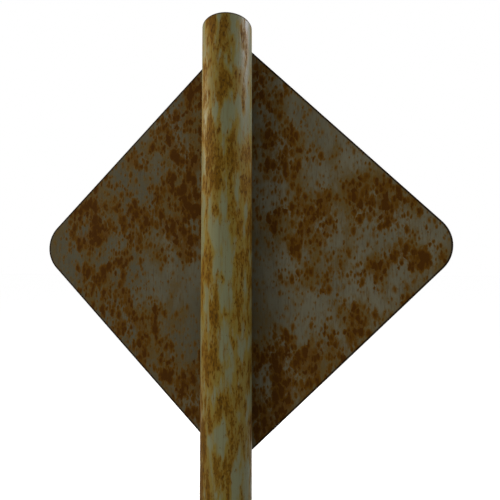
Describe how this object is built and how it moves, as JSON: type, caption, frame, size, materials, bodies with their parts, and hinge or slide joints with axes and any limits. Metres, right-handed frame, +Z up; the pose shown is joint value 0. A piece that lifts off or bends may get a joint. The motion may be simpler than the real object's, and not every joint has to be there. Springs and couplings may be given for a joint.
{
  "type": "signpost",
  "caption": "Roadside signpost: a square steel panel on its corner, bolted from its front to a round steel post with a domed cap and a bolt-down base plate.",
  "frame": {"origin": "centre of the base plate's underside, on the post's axis", "axes": "+Z up along the post. The sign's face looks along -Y and its bare back along +Y. +X is to the right for someone who looks at the face."},
  "size_m": [0.6656, 0.25, 2.1697],
  "materials": {
    "panel_steel": "matte",
    "sheeting_yellow": "satin",
    "legend_black": "satin",
    "post_steel": "matte",
    "cap_steel": "matte",
    "saddle_steel": "matte",
    "fixing_steel": "satin",
    "seal_rubber": "matte",
    "base_steel": "matte",
    "weld_steel": "matte"
  },
  "bodies": {
    "root": {"sign_panel": "panel_steel", "face_sheeting": "sheeting_yellow", "face_border": "legend_black", "face_arrow": "legend_black", "post_tube": "post_steel", "post_cap": "cap_steel", "upper_saddle": "saddle_steel", "lower_saddle": "saddle_steel", "upper_rivet_nut": "fixing_steel", "lower_rivet_nut": "fixing_steel", "upper_flat_washer": "fixing_steel", "lower_flat_washer": "fixing_steel", "upper_bolt": "fixing_steel", "lower_bolt": "fixing_steel", "upper_seal_washer": "seal_rubber", "lower_seal_washer": "seal_rubber", "base_plate": "base_steel", "gusset_right": "base_steel", "gusset_back": "base_steel", "gusset_left": "base_steel", "gusset_front": "base_steel", "post_weld": "weld_steel", "gusset_right_welds": "weld_steel", "gusset_back_welds": "weld_steel", "gusset_left_welds": "weld_steel", "gusset_front_welds": "weld_steel"}
  },
  "joints": []
}
